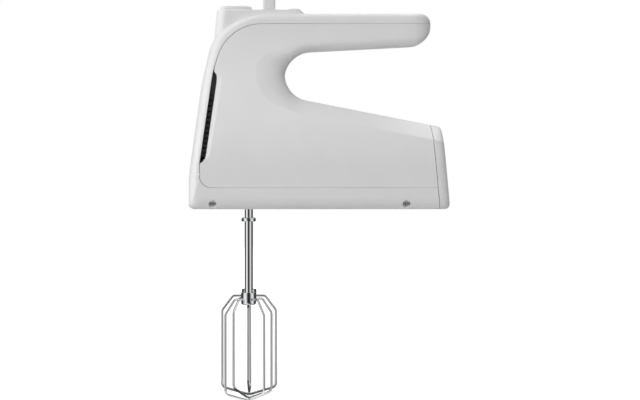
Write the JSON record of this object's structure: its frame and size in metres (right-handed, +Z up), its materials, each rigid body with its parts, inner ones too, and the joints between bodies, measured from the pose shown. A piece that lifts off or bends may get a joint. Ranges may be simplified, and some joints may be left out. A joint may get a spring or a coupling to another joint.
{
  "type": "hand mixer",
  "caption": "Hand mixer with a hollow-handled moulded housing, top controls, side vents and wire beaters driven by a motor through a worm drive.",
  "frame": {"origin": "under the middle of the body's length and width, at the height of the beaters' lowest point", "axes": "+Z up along the beater shafts, +X from the front of the body to its rear, +Y to the right beater"},
  "size_m": [0.1966, 0.086, 0.3069],
  "materials": {
    "shell_white": "satin moulded",
    "vent_dark": "fine slats, matt",
    "control_white": "satin moulded",
    "inner_ivory": "matt moulded",
    "steel": "ground",
    "spring_steel": "drawn wire",
    "contact_brass": "stamped",
    "switch_black": "matt moulded",
    "board_green": "lacquered",
    "capacitor_blue": "moulded",
    "bush_bronze": "sintered",
    "lamination_steel": "stacked sheet",
    "winding_copper": "enamelled wire",
    "brush_carbon": "matt",
    "gear_nylon": "moulded",
    "beater_chrome": "bright",
    "gland_rubber": "matt"
  },
  "bodies": {
    "housing": {"left_shell": "shell_white", "right_shell": "shell_white", "spine_cover": "shell_white", "base_shell": "shell_white", "rear_cap": "shell_white", "vent_grille_left": "vent_dark", "vent_grille_right": "vent_dark", "eject_spring": "spring_steel", "rod_guide": "inner_ivory", "turbo_spring": "spring_steel", "speed_switch": "switch_black", "turbo_switch": "switch_black", "circuit_board": "board_green", "capacitor": "capacitor_blue", "gear_case": "inner_ivory", "gear_cover": "inner_ivory", "spindle_bushes": "bush_bronze", "tip_bush": "bush_bronze", "front_bearing": "steel", "rear_bearing": "steel", "rear_bracket": "inner_ivory", "motor_screws": "steel", "stator_core": "lamination_steel", "field_coils": "winding_copper", "brush_holders": "contact_brass", "brushes": "brush_carbon", "base_screws": "steel", "cord_gland": "gland_rubber", "cord_clamp": "inner_ivory"},
    "rotor": {"rotor_shaft": "steel", "worm": "steel", "fan": "gear_nylon", "armature_core": "lamination_steel", "armature_windings": "winding_copper", "commutator": "winding_copper"},
    "spindle_left": {"spindle_left": "steel", "worm_wheel_left": "gear_nylon"},
    "spindle_right": {"spindle_right": "steel", "worm_wheel_right": "gear_nylon"},
    "beater_left": {"beater_shaft_left": "beater_chrome", "beater_hub_left": "beater_chrome", "beater_wires_left": "beater_chrome"},
    "beater_right": {"beater_shaft_right": "beater_chrome", "beater_hub_right": "beater_chrome", "beater_wires_right": "beater_chrome"},
    "eject": {"eject_button": "control_white", "eject_rod": "steel", "eject_plate": "inner_ivory"},
    "slider": {"speed_slider": "control_white", "slider_contact": "contact_brass"},
    "turbo": {"turbo_button": "control_white"}
  },
  "joints": [
    {"name": "motor_spin", "type": "hinge", "parent": "housing", "child": "rotor", "pos_m": [0, 0, 0.1845], "axis": [1, 0, 0], "continuous": true},
    {"name": "left_spindle_spin", "type": "hinge", "parent": "housing", "child": "spindle_left", "pos_m": [-0.05331, -0.021, 0.1845], "axis": [0, 0, 1], "continuous": true},
    {"name": "right_spindle_spin", "type": "hinge", "parent": "housing", "child": "spindle_right", "pos_m": [-0.05331, 0.021, 0.1845], "axis": [0, 0, 1], "continuous": true},
    {"name": "eject_press", "type": "slide", "parent": "housing", "child": "eject", "axis": [0, 0, -1], "range_m": [0, 0.005], "stiffness_N_per_m": 600, "springref_m": -0.005, "deforming": ["eject_spring"]},
    {"name": "left_beater_slide", "type": "slide", "parent": "spindle_left", "child": "beater_left", "axis": [0, 0, -1], "range_m": [0, 0.005]},
    {"name": "right_beater_slide", "type": "slide", "parent": "spindle_right", "child": "beater_right", "axis": [0, 0, -1], "range_m": [0, 0.005]},
    {"name": "speed_slide", "type": "slide", "parent": "housing", "child": "slider", "axis": [0, 1, 0], "range_m": [0, 0.015]},
    {"name": "turbo_press", "type": "slide", "parent": "housing", "child": "turbo", "axis": [0, 0, -1], "range_m": [0, 0.002], "stiffness_N_per_m": 500, "springref_m": -0.002, "deforming": ["turbo_spring"]}
  ],
  "couplings": [
    {"joint": "left_spindle_spin", "follows": "motor_spin", "ratio": 0.08},
    {"joint": "right_spindle_spin", "follows": "motor_spin", "ratio": -0.08},
    {"joint": "left_beater_slide", "follows": "eject_press", "ratio": 1},
    {"joint": "right_beater_slide", "follows": "eject_press", "ratio": 1}
  ]
}
